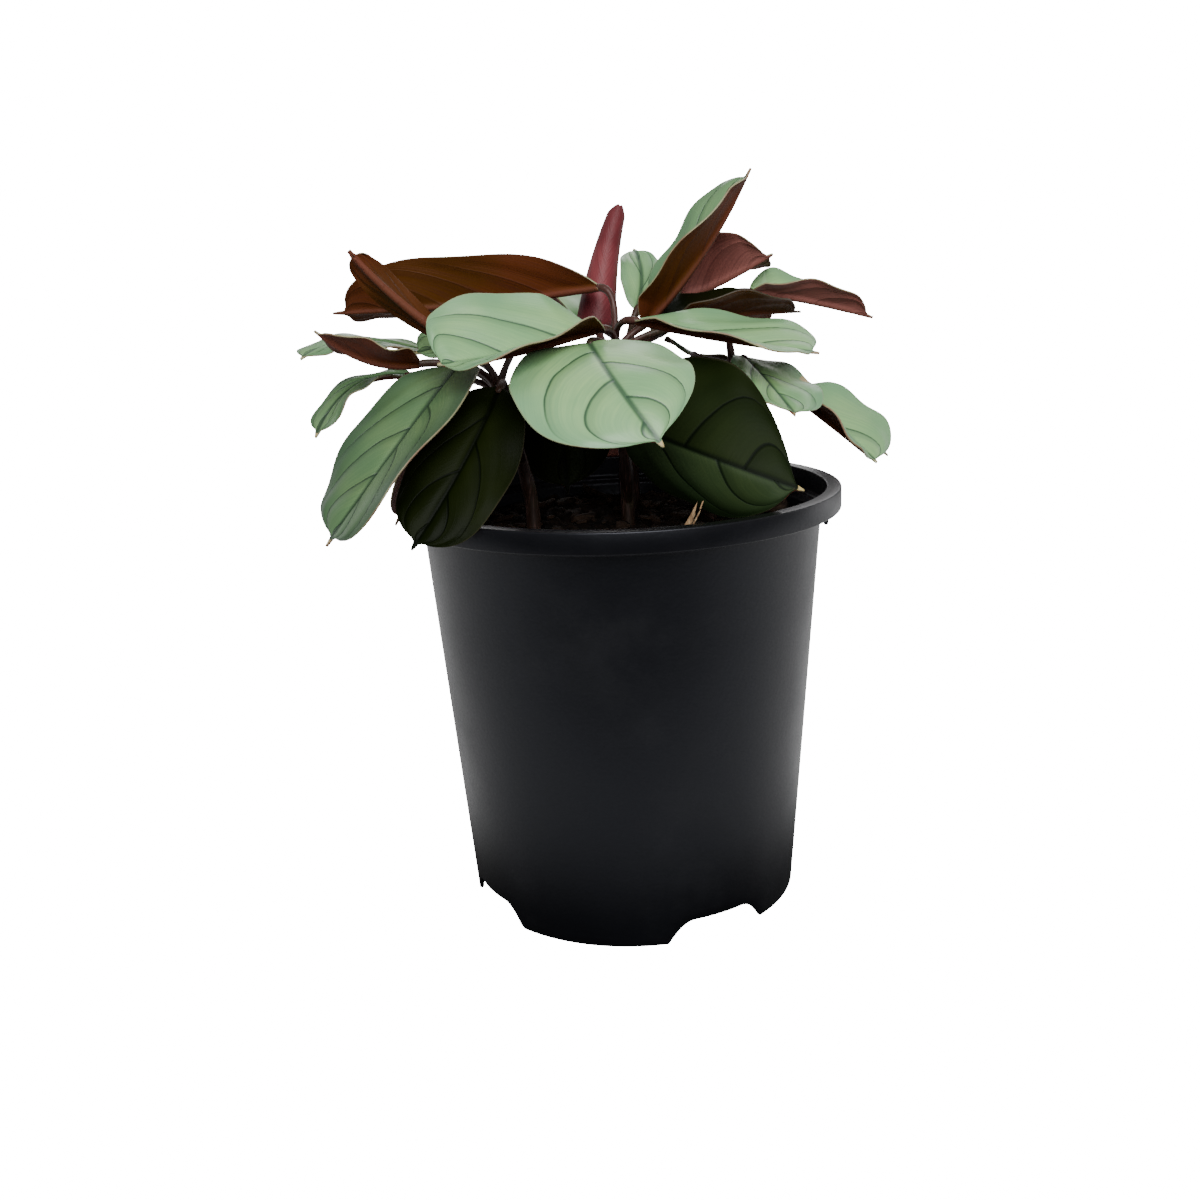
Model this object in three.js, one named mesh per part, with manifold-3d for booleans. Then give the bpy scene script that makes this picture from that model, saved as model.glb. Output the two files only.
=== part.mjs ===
// A prayer-plant relative with silvery, dark-veined leaves, in a black nursery pot.
// Millimetres, +Z up. The origin is on the ground, on the pot's axis.
import * as THREE from 'three';
import { mergeVertices } from 'three/addons/utils/BufferGeometryUtils.js';
import Module from 'manifold-3d';

// The pot.
const POT_HEIGHT = 124.5;
const RIM_RADIUS = 65;
const RIM_WIDTH = 4.3;
const RIM_SKIRT = 6.2;
const RIM_WALL = 1.2;
const RIM_CHAMFER = 0.6;
const SHOULDER_STEP = 1.4;
const FOOT_RADIUS = 49.8;
const SHOULDER_RADIUS = 59.1;
const POT_WALL = 1.4;
const FLOOR_UNDER = 9;
const FLOOR_TOP = 10.6;
const POT_SIDES = 36;
const CUT_OUT_HEIGHT = 6.5;
const CUT_OUT_WIDTH = 31;
const CUT_OUT_TOP_WIDTH = 22;
const CUT_OUT_ROUNDING = 3;
const CUT_OUT_SEGMENTS = 3;
const CUT_OUT_ANGLES = [-61, 29, 119, 209];
const DRAIN_HOLES = [
  { count: 4, first: 118, ring: 38, radius: 4.5 },
  { count: 4, first: 73, ring: 22, radius: 3.5 },
];
const DRAIN_SIDES = 8;

// The potting mix.
const MIX_LEVEL = 112.5;
const MIX_LUMP = 1.5;
const MIX_EDGE = 1;
const LUMPS_FADE = 6;
const MIX_RINGS = 7;
const MIX_SIDES = 36;
const CLEARANCE = 0.3;
const FACET_CLEARANCE = 0.4;
const STEM_DEPTH = 12;

// Canes and leaf stalks.
const CANE_RADIUS = 2.3;
const CANE_SIDES = 8;
const CANE_STEPS = 8;
const CANE_STRAIGHT = 5;
const CANE_BEND = 8;
const STALK_RADIUS = 1.05;
const STALK_SIDES = 6;
const STALK_STEPS = 4;
const STALK_BOW = 0.35;
const STALK_GAP = 0.5;

// Leaf blades. A blade is a grid of ROWS from base to tip by columns from edge to edge.
const ROWS = [0, 0.04, 0.13, 0.28, 0.44, 0.6, 0.76, 0.9, 0.96, 1];
const COLUMNS = 6;
const BLADE_THICKNESS = 0.8;
const RIB_DEPTH = 0.7;
const WAVE_HEIGHT = 0.8;
const WAVES = 2.2;
const WAVE_PHASE = 0.9;
const BASE_BLUNTNESS = 2.2;
const TIP_BLUNTNESS = 3.2;
const OUTLINE_POWER = 0.52;
const POINT_LENGTH = 0.05;
const POINT_WIDTH = 1.3;
const POINT_POWER = 0.8;
const TIP_WIDTH = 0.15;
const NECK_LENGTH = 0.05;
const NECK_WIDTH = 1.2;
const YOUNG_TAPER = 0.66;
const FOLD_AT_BASE = 1.35;
const FOLD_AT_TIP = 0.65;
const FOLD_FULL_WIDTH = 0.35;

// Each shoot has a cane, given by its points from the mix upwards, and its leaves. A leaf has
// the base, middle and tip of its midrib, the side that its upper surface faces (and where it
// twists, the side it faces at the tip), its width, and the height where its stalk leaves the
// cane. Then, for its right and left half as seen from above with the tip ahead: the angle the
// half is folded up, the angle it curls through, how far its edge leads the rib, and its spread.
const SHOOTS = [
  {
    name: 'shoot_a',
    cane: [[2, 6], [2, 5, 132], [0, 3, 164]],
    leaves: [
      { name: 'leaf_front', base: [-7, -23, 169], middle: [-1, -54, 162], tip: [11, -68, 146],
        face: [-0.1, -0.8, 0.7], width: 40, fold: [10, -5], curl: [-12, -20], lead: [-0.25, -0.08],
        spread: [1.25, 1.05], stalk: 158 },
      { name: 'leaf_left', base: [-5, -12, 172], middle: [-29, -28, 167], tip: [-47, -39, 166],
        face: [0, -0.42, 0.9], width: 40, fold: [36, 34], curl: [-8, 0], lead: [0.25, 0], stalk: 161 },
      { name: 'leaf_upper_left', base: [-4, 8, 183], middle: [-43, 20, 179], tip: [-85, 18, 178],
        face: [0.05, 0.85, 0.5], width: 35, fold: [60, 5], curl: [0, 10], lead: [0, 0.4],
        spread: [0.8, 0.9], stalk: 164 },
      { name: 'leaf_rolled', base: [-5, 20, 171], middle: [-2, 24, 189], tip: [3, 26, 206],
        face: [-0.1, 1, 0.1], width: 26, curl: [125, 125], wave: 0, young: true, stalk: 160 },
      { name: 'leaf_upright', base: [9, 6, 172], middle: [25, 1, 190], tip: [40, 2, 214],
        face: [-0.84, -0.05, 0.54], tipFace: [-0.84, -0.25, 0.54], width: 26, fold: [42, 32],
        lead: [0, 0.25], spread: [1, 1.05], stalk: 162 },
      { name: 'leaf_right', base: [6, -11, 174], middle: [31, -15, 168], tip: [57, -15, 163],
        face: [0.05, -0.35, 1], width: 35, fold: [27, 5], curl: [-6, -4], lead: [0, 0.6], spread: [0.75, 1],
        stalk: 163 },
      { name: 'leaf_right_behind', base: [14, 5, 170], middle: [34, 12, 173], tip: [56, 16, 173],
        face: [0, 0, 1], width: 34, fold: [24, 24], stalk: 160 },
      { name: 'leaf_front_low', base: [4, -20, 145], middle: [25, -36, 138], tip: [49, -42, 129],
        face: [0.1, -0.85, 0.5], width: 42, fold: [-30, 6], curl: [-60, -8], lead: [-0.25, -0.45],
        spread: [0.78, 1.36], stalk: 134 },
    ],
  },
  {
    name: 'shoot_b',
    cane: [[-26, -8], [-27, -9, 132], [-34, -12, 156]],
    leaves: [
      { name: 'leaf_hanging_left', base: [-45, -10, 163], middle: [-59, -42, 145], tip: [-78, -52, 121],
        face: [-0.1, -0.4, 0.9], tipFace: [-0.9, -0.55, 0.35], width: 35, fold: [16, 11], curl: [-10, 0],
        lead: [0.2, 0], spread: [1, 1.02], stalk: 155 },
      { name: 'leaf_over_rim', base: [-32, -28, 158], middle: [-42, -44, 139], tip: [-55, -56, 120],
        face: [-0.1, -0.85, 0.5], width: 28, fold: [8, 8], curl: [-20, -20], stalk: 150 },
      { name: 'leaf_narrow_left', base: [-61, 4, 160], middle: [-78, 2, 157], tip: [-88, -8, 144],
        face: [-0.1, -0.15, 1], width: 14, fold: [4, 4], stalk: 148 },
      { name: 'leaf_far_left', base: [-57, -6, 164], middle: [-70, -14, 166], tip: [-83, -19, 175],
        face: [0, 0.25, 0.95], width: 20, fold: [15, 15], stalk: 151 },
      { name: 'leaf_outer_left', base: [-58, 17, 166], middle: [-79, 10, 170], tip: [-92, 0, 166],
        face: [-0.2, -0.2, 1], width: 22, stalk: 152 },
      { name: 'leaf_small_left', base: [-34, 16, 169], middle: [-47, 11, 168], tip: [-59, 5, 166],
        face: [0, -0.5, 0.85], width: 18, fold: [20, 20], stalk: 154 },
      { name: 'leaf_folded_left', base: [-43, -4, 167], middle: [-60, -8, 181], tip: [-73, -12, 196],
        face: [0, 1, -0.25], width: 14, fold: [58, 52], stalk: 156 },
    ],
  },
  {
    name: 'shoot_c',
    cane: [[27, 8], [28, 8, 132], [35, 8, 158]],
    leaves: [
      { name: 'leaf_back_right', base: [43, 36, 179], middle: [62, 38, 175], tip: [82, 40, 169],
        face: [0, -0.3, 0.8], tipFace: [0, 0.5, 1], width: 21, fold: [26, 50], lead: [-0.3, -0.2],
        spread: [1, 0.88], stalk: 156 },
      { name: 'leaf_lower_right', base: [38, 6, 161], middle: [43, -14, 155], tip: [48, -32, 148],
        face: [0.3, -0.55, 0.8], width: 30, fold: [4, 4], spread: [0.6, 0.92], stalk: 152 },
      { name: 'leaf_hanging_right', base: [50, 0, 152], middle: [63, -6, 141], tip: [74, -12, 131],
        face: [0.3, -0.25, 0.9], width: 32, fold: [30, 14], lead: [0, 0.15],
        spread: [0.92, 1.15], stalk: 146 },
      { name: 'leaf_right_rear', base: [38, 28, 149], middle: [65, 46, 140], tip: [92, 63, 121],
        face: [0.2, 0.1, 1], width: 25, fold: [10, 10], stalk: 140 },
      { name: 'leaf_inner_right', base: [24, 24, 161], middle: [27, 34, 159], tip: [31, 44, 156],
        face: [0.2, -0.3, 1], width: 26, fold: [10, 10], stalk: 150 },
    ],
  },
  {
    name: 'shoot_d',
    cane: [[4, 32], [4, 31, 132], [3, 28, 160]],
    leaves: [
      { name: 'leaf_rear_upper_right', base: [20, 28, 178], middle: [33, 30, 182], tip: [49, 27, 190],
        face: [0, 0.55, 0.85], width: 36, fold: [25, 40], stalk: 160 },
      { name: 'leaf_rear_upright', base: [7, 27, 175], middle: [9, 36, 185], tip: [7, 48, 193],
        face: [0.2, -0.6, 0.8], width: 14, fold: [10, 10], stalk: 159 },
      { name: 'leaf_rear_inner', base: [-15, 12, 160], middle: [-17, 12, 146], tip: [-16, 6, 122],
        face: [0, -1, 0.15], width: 32, curl: [-10, -10], stalk: 152 },
      { name: 'leaf_rear_left_low', base: [-16, 38, 150], middle: [-38, 53, 139], tip: [-55, 62, 113],
        face: [-0.4, 0.5, 0.8], width: 36, fold: [14, 14], curl: [-20, -20], stalk: 140 },
      { name: 'leaf_rear_middle', base: [-1, 44, 158], middle: [0, 60, 148], tip: [-2, 70, 114],
        face: [0, 0.8, 0.6], width: 34, fold: [8, 8], curl: [-20, -20], stalk: 148 },
      { name: 'leaf_rear_right_low', base: [17, 42, 148], middle: [36, 54, 137], tip: [50, 64, 110],
        face: [0.3, 0.6, 0.7], width: 36, fold: [14, 14], curl: [-20, -20], spread: [0.72, 1], stalk: 142 },
      { name: 'leaf_rear_side', base: [-26, 20, 142], middle: [-52, 28, 134], tip: [-74, 34, 109],
        face: [-0.5, 0.3, 0.8], width: 32, fold: [14, 14], curl: [-10, -10], stalk: 136 },
      { name: 'leaf_rear_upper_left', base: [-8, 36, 171], middle: [-30, 52, 176], tip: [-52, 62, 172],
        face: [0, 0.1, 1], width: 32, fold: [24, 24], stalk: 160 },
      { name: 'leaf_rear_top', base: [14, 36, 167], middle: [32, 51, 171], tip: [50, 63, 165],
        face: [0, 0.1, 1], width: 32, fold: [20, 20], stalk: 157 },
    ],
  },
];

const wasm = await Module();
wasm.setup();

const vector = (point) => new THREE.Vector3(...point);
const radians = THREE.MathUtils.degToRad;
const clamp = THREE.MathUtils.clamp;

function solid(geometry) {
  const bare = geometry.clone();
  bare.deleteAttribute('normal');
  bare.deleteAttribute('uv');
  const merged = mergeVertices(bare, 1e-4);
  return new wasm.Manifold(new wasm.Mesh({
    numProp: 3,
    vertProperties: new Float32Array(merged.attributes.position.array),
    triVerts: new Uint32Array(merged.index.array),
  }));
}

function fromSolid(body) {
  const mesh = body.getMesh();
  const geometry = new THREE.BufferGeometry();
  geometry.setAttribute('position', new THREE.BufferAttribute(mesh.vertProperties, 3));
  geometry.setIndex(new THREE.BufferAttribute(mesh.triVerts, 1));
  return geometry;
}

function roundShape(radius, sides) {
  const corners = Array.from({ length: sides }, (_, i) => {
    const angle = (2 * Math.PI * i) / sides;
    return new THREE.Vector2(radius * Math.cos(angle), radius * Math.sin(angle));
  });
  return new THREE.Shape(corners);
}

function tube(curve, radius, sides, steps) {
  const sweep = { extrudePath: curve, steps, bevelEnabled: false };
  return new THREE.ExtrudeGeometry(roundShape(radius, sides), sweep);
}

const SKIRT_BOTTOM = POT_HEIGHT - RIM_SKIRT;
const SHOULDER_HEIGHT = SKIRT_BOTTOM - 1;

function wallInside(z) {
  return FOOT_RADIUS + ((SHOULDER_RADIUS - FOOT_RADIUS) / SHOULDER_HEIGHT) * z - POT_WALL;
}

// The pot is one moulding: raised floor, tapering wall, a step out under the rim, and a rim
// with a flat top that turns down outside and is hollow underneath.
function potGeometry() {
  const lipUnder = POT_HEIGHT - RIM_WALL;
  const collar = RIM_RADIUS - RIM_WIDTH;
  const skirtInside = RIM_RADIUS - RIM_WALL;
  const innerShoulder = SHOULDER_HEIGHT - SHOULDER_STEP;
  const profile = [
    [0, FLOOR_UNDER], [wallInside(FLOOR_UNDER), FLOOR_UNDER], [wallInside(0), 0], [FOOT_RADIUS, 0],
    [SHOULDER_RADIUS, SHOULDER_HEIGHT], [collar + RIM_WALL, SHOULDER_HEIGHT + SHOULDER_STEP],
    [collar + RIM_WALL, lipUnder], [skirtInside, lipUnder], [skirtInside, SKIRT_BOTTOM],
    [RIM_RADIUS, SKIRT_BOTTOM], [RIM_RADIUS, POT_HEIGHT - RIM_CHAMFER],
    [RIM_RADIUS - RIM_CHAMFER, POT_HEIGHT], [collar, POT_HEIGHT],
    [collar, SKIRT_BOTTOM], [wallInside(innerShoulder), innerShoulder],
    [wallInside(FLOOR_TOP), FLOOR_TOP], [0, FLOOR_TOP],
  ].map(([r, z]) => new THREE.Vector2(r, z));
  const lathe = new THREE.LatheGeometry(profile, POT_SIDES).rotateX(Math.PI / 2);
  let pot = solid(lathe);
  for (const angle of CUT_OUT_ANGLES) pot = pot.subtract(solid(cutOutGeometry(angle)));
  for (const hole of DRAIN_HOLES) {
    for (let i = 0; i < hole.count; i += 1) {
      const angle = radians(hole.first + (360 * i) / hole.count - 90);
      const drain = new THREE.CylinderGeometry(hole.radius, hole.radius, FLOOR_TOP, DRAIN_SIDES);
      const [x, y] = [hole.ring * Math.cos(angle), hole.ring * Math.sin(angle)];
      pot = pot.subtract(solid(drain.rotateX(Math.PI / 2).translate(x, y, FLOOR_TOP)));
    }
  }
  return fromSolid(pot);
}

// A cut-out between two feet: a low opening with sloping ends and rounded upper corners.
function cutOutGeometry(angle) {
  const half = CUT_OUT_WIDTH / 2;
  const top = CUT_OUT_TOP_WIDTH / 2;
  const shoulder = top + CUT_OUT_ROUNDING;
  const flat = top - CUT_OUT_ROUNDING;
  const outline = new THREE.Shape();
  outline.moveTo(-half, -1);
  outline.lineTo(half, -1);
  outline.lineTo(half, 0.5);
  outline.quadraticCurveTo(shoulder, CUT_OUT_HEIGHT, flat, CUT_OUT_HEIGHT);
  outline.lineTo(-flat, CUT_OUT_HEIGHT);
  outline.quadraticCurveTo(-shoulder, CUT_OUT_HEIGHT, -half, 0.5);
  outline.closePath();
  const sweep = { depth: RIM_RADIUS / 2, curveSegments: CUT_OUT_SEGMENTS, bevelEnabled: false };
  const cutter = new THREE.ExtrudeGeometry(outline, sweep);
  cutter.rotateX(Math.PI / 2).translate(0, -RIM_RADIUS / 2, 0);
  return cutter.rotateZ(radians(angle));
}

// The mix fills the pot. Its top is lumpy, and each cane stands in a plain hole.
function mixGeometry() {
  const side = (z) => wallInside(z) - CLEARANCE - FACET_CLEARANCE;
  const bottom = FLOOR_TOP + CLEARANCE;
  const edge = side(MIX_LEVEL - MIX_EDGE);
  const profile = [[0, bottom], [side(bottom), bottom], [edge, MIX_LEVEL - MIX_EDGE]];
  for (let i = MIX_RINGS; i >= 0; i -= 1) profile.push([(edge - MIX_EDGE) * (i / MIX_RINGS), MIX_LEVEL]);
  const points = profile.map(([r, z]) => new THREE.Vector2(r, z));
  const mix = new THREE.LatheGeometry(points, MIX_SIDES).rotateX(Math.PI / 2);
  const position = mix.attributes.position;
  for (let i = 0; i < position.count; i += 1) {
    if (position.getZ(i) > MIX_LEVEL - MIX_EDGE / 2) {
      const [x, y] = [position.getX(i), position.getY(i)];
      const fade = clamp((edge - Math.hypot(x, y)) / LUMPS_FADE, 0, 1);
      position.setZ(i, MIX_LEVEL + MIX_LUMP * fade * lumps(x, y));
    }
  }
  let body = solid(mix);
  for (const shoot of SHOOTS) body = body.subtract(solid(stemHole(shoot.cane[0])));
  return fromSolid(body);
}

function lumps(x, y) {
  return 0.6 * Math.sin(0.41 * x + 1.3) * Math.cos(0.37 * y) + 0.4 * Math.sin(0.83 * x - 0.29 * y + 2)
    + 0.4 * Math.cos(0.71 * y + 0.33 * x);
}

function stemHole([x, y]) {
  const radius = CANE_RADIUS + CLEARANCE;
  const depth = STEM_DEPTH + CLEARANCE;
  const hole = new THREE.CylinderGeometry(radius, radius, 2 * depth, CANE_SIDES).rotateX(Math.PI / 2);
  return hole.translate(x, y, MIX_LEVEL);
}

// The cane stands upright in its hole and to just above the mix, and then leans.
function canePath(cane) {
  const [foot, knee, top] = cane;
  const path = new THREE.CurvePath();
  const clear = new THREE.Vector3(foot[0], foot[1], MIX_LEVEL + CANE_STRAIGHT);
  path.add(new THREE.LineCurve3(new THREE.Vector3(foot[0], foot[1], MIX_LEVEL - STEM_DEPTH), clear));
  path.add(new THREE.CubicBezierCurve3(
    clear, new THREE.Vector3(foot[0], foot[1], knee[2] - CANE_BEND), vector(knee), vector(top)));
  return path;
}

function caneAt(path, height) {
  let [low, high] = [0, 1];
  for (let i = 0; i < 30; i += 1) {
    const middle = (low + high) / 2;
    if (path.getPoint(middle).z < height) low = middle; else high = middle;
  }
  return path.getPoint(low);
}

// A shoot's cane with its leaf stalks, grown together. Each stalk ends just behind its blade.
function stemsGeometry(shoot) {
  const path = canePath(shoot.cane);
  let stems = solid(tube(path, CANE_RADIUS, CANE_SIDES, CANE_STEPS));
  for (const leaf of shoot.leaves) {
    const start = caneAt(path, leaf.stalk);
    const { centre, along } = midrib(leaf, 0);
    const end = centre.clone().addScaledVector(along, -STALK_GAP);
    const bow = STALK_BOW * start.distanceTo(end);
    const rise = start.clone().add(new THREE.Vector3(0, 0, bow));
    const arrive = end.clone().addScaledVector(along, -bow);
    const curve = new THREE.CubicBezierCurve3(start, rise, arrive, end);
    stems = stems.add(solid(tube(curve, STALK_RADIUS, STALK_SIDES, STALK_STEPS)));
  }
  return fromSolid(stems);
}

// The midrib's place, direction, and the blade's own axes there, at u from base 0 to tip 1.
function midrib(leaf, u) {
  const [base, middle, tip] = [vector(leaf.base), vector(leaf.middle), vector(leaf.tip)];
  const control = middle.clone().multiplyScalar(2).addScaledVector(base, -0.5).addScaledVector(tip, -0.5);
  const curve = new THREE.QuadraticBezierCurve3(base, control, tip);
  const centre = curve.getPoint(u);
  const along = curve.getTangent(u);
  const up = vector(leaf.face).lerp(vector(leaf.tipFace ?? leaf.face), u).projectOnPlane(along).normalize();
  return { centre, along, up, right: along.clone().cross(up) };
}

// Half the width: an oblong with a blunt end and a short point, or a young blade's taper.
function halfWidth(leaf, u) {
  if (leaf.young) {
    const ends = Math.sqrt(clamp(u / 0.06, 0.12, 1)) * Math.sqrt(clamp((1 - u) / 0.08, 0.02, 1));
    return (leaf.width / 2) * (1 - YOUNG_TAPER * u) * ends;
  }
  const x = Math.min(u / (1 - POINT_LENGTH), 1);
  const bluntness = x < 0.5 ? BASE_BLUNTNESS : TIP_BLUNTNESS;
  const body = (leaf.width / 2) * (1 - Math.abs(2 * x - 1) ** bluntness) ** OUTLINE_POWER;
  const pointShare = clamp((1 - u) / (2 * POINT_LENGTH), 0, 1);
  const point = u > 0.5 ? POINT_WIDTH * pointShare ** POINT_POWER + TIP_WIDTH : 0;
  const neck = NECK_WIDTH * clamp(1 - u / NECK_LENGTH, 0, 1);
  return Math.max(body, point, neck);
}

// A place on the blade, at u from base to tip and v from the left edge -1 to the right edge 1.
function bladePoint(leaf, u, v) {
  const { centre, along, up, right } = midrib(leaf, u);
  const side = v < 0 ? 1 : 0;
  const sign = v < 0 ? -1 : 1;
  const width = halfWidth(leaf, u);
  const open = clamp(width / (FOLD_FULL_WIDTH * leaf.width), 0, 1);
  const easing = open * (FOLD_AT_BASE + (FOLD_AT_TIP - FOLD_AT_BASE) * u);
  const fold = radians((leaf.fold ?? [0, 0])[side]) * easing;
  const curlLength = leaf.young ? width : leaf.width / 2;
  const bend = radians((leaf.curl ?? [0, 0])[side] || 1e-4) / curlLength;
  const reach = Math.abs(v) * width * (leaf.spread ?? [1, 1])[side];
  const out = (Math.sin(fold + bend * reach) - Math.sin(fold)) / bend;
  const rise = -(Math.cos(fold + bend * reach) - Math.cos(fold)) / bend;
  const phase = 2 * Math.PI * WAVES * u + WAVE_PHASE * sign;
  const wave = (leaf.wave ?? WAVE_HEIGHT) * v * v * open * Math.sin(phase);
  return centre.addScaledVector(right, sign * out).addScaledVector(up, rise + wave)
    .addScaledVector(along, (leaf.lead ?? [0, 0])[side] * reach);
}

// The blade as a thin closed slab: the sheet's two faces, split into triangles alike, with a
// rib thickened along the underside, and a narrow wall round the edge.
function bladeGeometry(leaf) {
  const rows = ROWS.length - 1;
  const sheet = new THREE.PlaneGeometry(2, 1, COLUMNS, rows);
  const position = sheet.attributes.position;
  const count = position.count;
  for (let i = 0; i < count; i += 1) {
    const u = ROWS[Math.floor(i / (COLUMNS + 1))];
    const point = bladePoint(leaf, u, position.getX(i));
    position.setXYZ(i, point.x, point.y, point.z);
  }
  sheet.computeVertexNormals();
  const down = sheet.attributes.normal;
  const places = new Float32Array(6 * count);
  for (let i = 0; i < count; i += 1) {
    const onRib = i % (COLUMNS + 1) === COLUMNS / 2;
    const u = ROWS[Math.floor(i / (COLUMNS + 1))];
    const rib = onRib && !leaf.young ? RIB_DEPTH * (1 - u) : 0;
    const point = new THREE.Vector3().fromBufferAttribute(position, i);
    const normal = new THREE.Vector3().fromBufferAttribute(down, i);
    point.clone().addScaledVector(normal, BLADE_THICKNESS / 2 + rib).toArray(places, 3 * i);
    point.clone().addScaledVector(normal, -BLADE_THICKNESS / 2).toArray(places, 3 * (i + count));
  }
  const under = Array.from(sheet.index.array);
  const upper = under.map((_, i) => under[i - (i % 3) + 2 - (i % 3)] + count);
  const blade = new THREE.BufferGeometry();
  blade.setAttribute('position', new THREE.BufferAttribute(places, 3));
  blade.setIndex([...under, ...upper, ...edgeWall(rows, count)]);
  return blade;
}

function edgeWall(rows, count) {
  const across = COLUMNS + 1;
  const ring = [];
  for (let i = 0; i < rows; i += 1) ring.push(i * across);
  for (let i = 0; i < COLUMNS; i += 1) ring.push(rows * across + i);
  for (let i = rows; i > 0; i -= 1) ring.push(i * across + COLUMNS);
  for (let i = COLUMNS; i > 0; i -= 1) ring.push(i);
  return ring.flatMap((here, i) => {
    const next = ring[(i + 1) % ring.length];
    return [next, here, here + count, next, here + count, next + count];
  });
}

const POT_BLACK = new THREE.MeshStandardMaterial({ color: 0x1b1c1f, roughness: 0.42, metalness: 0 });
const MIX_BROWN = new THREE.MeshStandardMaterial({ color: 0x2a211b, roughness: 1, metalness: 0 });
const STEM_PURPLE = new THREE.MeshStandardMaterial({ color: 0x4a2630, roughness: 0.55, metalness: 0 });
const LEAF_GREEN = new THREE.MeshStandardMaterial({ color: 0x9db79a, roughness: 0.5, metalness: 0 });
const LEAF_PINK = new THREE.MeshStandardMaterial({ color: 0x8c3c48, roughness: 0.45, metalness: 0 });

const group = new THREE.Group();

function place(name, geometry, material) {
  const mesh = new THREE.Mesh(geometry, material);
  mesh.name = name;
  group.add(mesh);
}

place('pot', potGeometry(), POT_BLACK);
place('potting_mix', mixGeometry(), MIX_BROWN);
for (const shoot of SHOOTS) {
  place(`${shoot.name}_stems`, stemsGeometry(shoot), STEM_PURPLE);
  for (const leaf of shoot.leaves) place(leaf.name, bladeGeometry(leaf), leaf.young ? LEAF_PINK : LEAF_GREEN);
}

export default group;
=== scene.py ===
import math
import random

import bmesh
import bpy
from mathutils import Matrix, Quaternion, Vector, noise
from mathutils.geometry import interpolate_bezier


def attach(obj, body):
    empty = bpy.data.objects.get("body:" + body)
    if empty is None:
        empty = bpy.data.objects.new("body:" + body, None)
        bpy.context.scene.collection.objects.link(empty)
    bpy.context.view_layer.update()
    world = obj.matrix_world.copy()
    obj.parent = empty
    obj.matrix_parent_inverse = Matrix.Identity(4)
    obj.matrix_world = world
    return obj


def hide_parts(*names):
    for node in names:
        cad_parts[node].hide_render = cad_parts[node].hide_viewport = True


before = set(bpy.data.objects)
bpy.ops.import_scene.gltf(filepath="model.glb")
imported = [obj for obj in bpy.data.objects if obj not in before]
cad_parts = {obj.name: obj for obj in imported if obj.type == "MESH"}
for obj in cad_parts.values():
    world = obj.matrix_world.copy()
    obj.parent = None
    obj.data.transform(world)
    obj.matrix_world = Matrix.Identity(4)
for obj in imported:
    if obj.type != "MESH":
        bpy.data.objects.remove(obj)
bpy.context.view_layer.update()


# Pot. A round nursery pot, moulded in one piece from black polypropylene: a thin tapering
# wall, a flat rim turned down outside and hollow beneath, and a floor with drain holes that
# is raised on four feet, with a low cut-out between each two.
MM = 0.001
POT_HEIGHT = 124.5
RIM_RADIUS = 65
RIM_WIDTH = 4.3
RIM_SKIRT = 6.2
RIM_WALL = 1.2
FOOT_RADIUS = 49.8
SHOULDER_RADIUS = 59.1
SHOULDER_STEP = 1.4
POT_WALL = 1.4
FLOOR_UNDER = 9
FLOOR_TOP = 10.6
SKIRT_BOTTOM = POT_HEIGHT - RIM_SKIRT
SHOULDER_HEIGHT = SKIRT_BOTTOM - 1
FOOT_LEVELS = (6.5, 4, 2, 0)
WALL_LEVELS = (9.5, 30, 60, 90)
INNER_WALL_LEVEL = 60
POT_STEPS = 240
POT_EDGE_RADIUS = 0.45
CUT_OUT_HEIGHT = 6.5
CUT_OUT_HALF_FOOT = 15.5
CUT_OUT_HALF_TOP = 8
CUT_OUT_ROUNDNESS = 0.8
CUT_OUT_ANGLES = (-61, 29, 119, 209)
NEAR_CUT_OUT = 60
FEET_BEYOND = 45
DRAIN_RINGS = ((4, 118, 38, 4.5), (4, 73, 22, 3.5))
DRILL_LENGTH = 8
POT_BLACKS = (0.002, 0.002, 0.0028), (0.006, 0.006, 0.007)
POT_SHEEN = (0.86, 0.88, 1, 1)


def finish(name, colour, roughness, specular=0.5):
    """A node material and its principled shader."""
    material = bpy.data.materials.new(name)
    material.use_nodes = True
    shader = material.node_tree.nodes["Principled BSDF"]
    shader.inputs["Base Color"].default_value = (*colour, 1)
    shader.inputs["Roughness"].default_value = roughness
    shader.inputs["Specular IOR Level"].default_value = specular
    return material, material.node_tree, shader


def add(tree, kind, inputs=None, **settings):
    """Adds a node. An input is a constant or another node's output."""
    node = tree.nodes.new(kind)
    for key, value in settings.items():
        setattr(node, key, value)
    for key, value in (inputs or {}).items():
        if isinstance(value, bpy.types.NodeSocket):
            tree.links.new(value, node.inputs[key])
        else:
            node.inputs[key].default_value = value
    return node


def sums(tree, operation, first, second=0.0):
    return add(tree, "ShaderNodeMath", {0: first, 1: second}, operation=operation).outputs[0]


def product(tree, first, second):
    return sums(tree, "MULTIPLY", first, second)


def spread(tree, value, low, high, to_low=0.0, to_high=1.0):
    """The value, eased from one range to another and held at its ends."""
    ranges = {"From Min": low, "From Max": high, "To Min": to_low, "To Max": to_high}
    inputs = {"Value": value, **ranges}
    return add(tree, "ShaderNodeMapRange", inputs, interpolation_type="SMOOTHSTEP").outputs[0]


def grain(tree, scale, detail=3.0, vector=None, roughness=0.5):
    """Noise, from Object coordinates unless it is given others."""
    if vector is None:
        vector = add(tree, "ShaderNodeTexCoord").outputs["Object"]
    inputs = {"Vector": vector, "Scale": scale, "Detail": detail, "Roughness": roughness}
    return add(tree, "ShaderNodeTexNoise", inputs).outputs["Fac"]


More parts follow.
